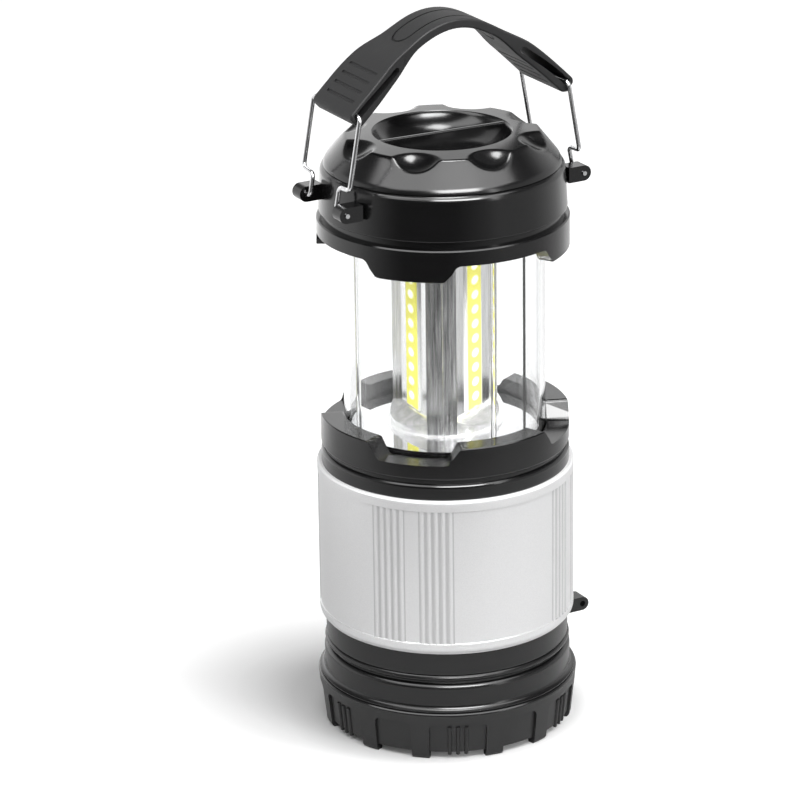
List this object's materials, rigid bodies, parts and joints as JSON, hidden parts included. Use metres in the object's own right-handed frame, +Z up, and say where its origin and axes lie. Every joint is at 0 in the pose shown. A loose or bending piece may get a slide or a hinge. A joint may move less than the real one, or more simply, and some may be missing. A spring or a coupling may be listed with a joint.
{
  "type": "camping lantern",
  "caption": "Collapsible battery camping lantern: a clear lamp tube pulls up out of a ribbed base, with a notched collar, a twist-off battery cover and a wire-hung strap handle.",
  "frame": {"origin": "centre of the footprint on the floor, on the lantern's upright axis, at the level of the tooth bottoms", "axes": "+Z up along the axis; +X along the strap handle, over the lanyard eyelet; +Y across the strap"},
  "size_m": [0.1004, 0.0868, 0.2427],
  "materials": {
    "black_plastic": "satin moulded, black",
    "dome_plastic": "semi-gloss moulded, black",
    "grey_plastic": "fine texture, dark grey",
    "sleeve_plastic": "satin, light grey",
    "clear_plastic": "clear, polished",
    "plated_plastic": "chrome-plated plastic",
    "board_white": "white solder mask",
    "phosphor": "yellow phosphor gel",
    "board_green": "green solder mask",
    "brass": "plain",
    "steel": "zinc plated",
    "spring_steel": "nickel plated",
    "wire_steel": "bright drawn wire",
    "cell_can": "plain grey jacket",
    "seal_rubber": "matt",
    "strap_rubber": "matt, dark grey"
  },
  "bodies": {
    "base": {"base_housing": "black_plastic", "sleeve": "sleeve_plastic", "collar_ring": "black_plastic", "contact_strips": "brass", "battery_tray": "grey_plastic", "tray_screws": "steel", "battery_cell_1": "cell_can", "battery_cell_2": "cell_can", "battery_cell_3": "cell_can", "contact_springs": "spring_steel", "contact_plates": "spring_steel", "cover_seal": "seal_rubber"},
    "battery_cover": {"base_cover": "grey_plastic"},
    "head": {"carriage": "black_plastic", "slide_ring": "seal_rubber", "contact_wipers": "brass", "reflector_plate": "plated_plastic", "globe": "clear_plastic", "column_foot": "plated_plastic", "led_column": "plated_plastic", "led_board_1": "board_white", "led_board_2": "board_white", "led_board_3": "board_white", "led_strip_1": "phosphor", "led_strip_2": "phosphor", "led_strip_3": "phosphor", "upper_reflector": "plated_plastic", "cap_skirt": "black_plastic", "driver_board": "board_green", "board_screws": "steel", "cap_collar": "black_plastic", "cap_dome": "dome_plastic", "cap_screws": "steel"},
    "left_bail": {"left_bail": "wire_steel"},
    "right_bail": {"right_bail": "wire_steel"},
    "strap": {"grip_strap": "strap_rubber"}
  },
  "joints": [
    {"name": "cover_twist", "type": "hinge", "parent": "base", "child": "battery_cover", "pos_m": [0, 0, 0.0125], "axis": [0, 0, 1], "range_deg": [-40, 0]},
    {"name": "head_slide", "type": "slide", "parent": "base", "child": "head", "axis": [0, 0, 1], "range_m": [-0.0616, 0]},
    {"name": "strap_drop", "type": "slide", "parent": "head", "child": "strap", "axis": [0, 0, 1], "range_m": [-0.0138, 0]},
    {"name": "left_bail_lean", "type": "hinge", "parent": "head", "child": "left_bail", "pos_m": [-0.0438, 0, 0.1862], "axis": [0, 1, 0], "range_deg": [0, 21.8]},
    {"name": "right_bail_lean", "type": "hinge", "parent": "head", "child": "right_bail", "pos_m": [0.0438, 0, 0.1862], "axis": [0, 1, 0], "range_deg": [-21.8, 0]}
  ],
  "couplings": [
    {"joint": "left_bail_lean", "follows": "strap_drop", "rad_per_m": -27.571},
    {"joint": "right_bail_lean", "follows": "strap_drop", "rad_per_m": 27.571}
  ]
}
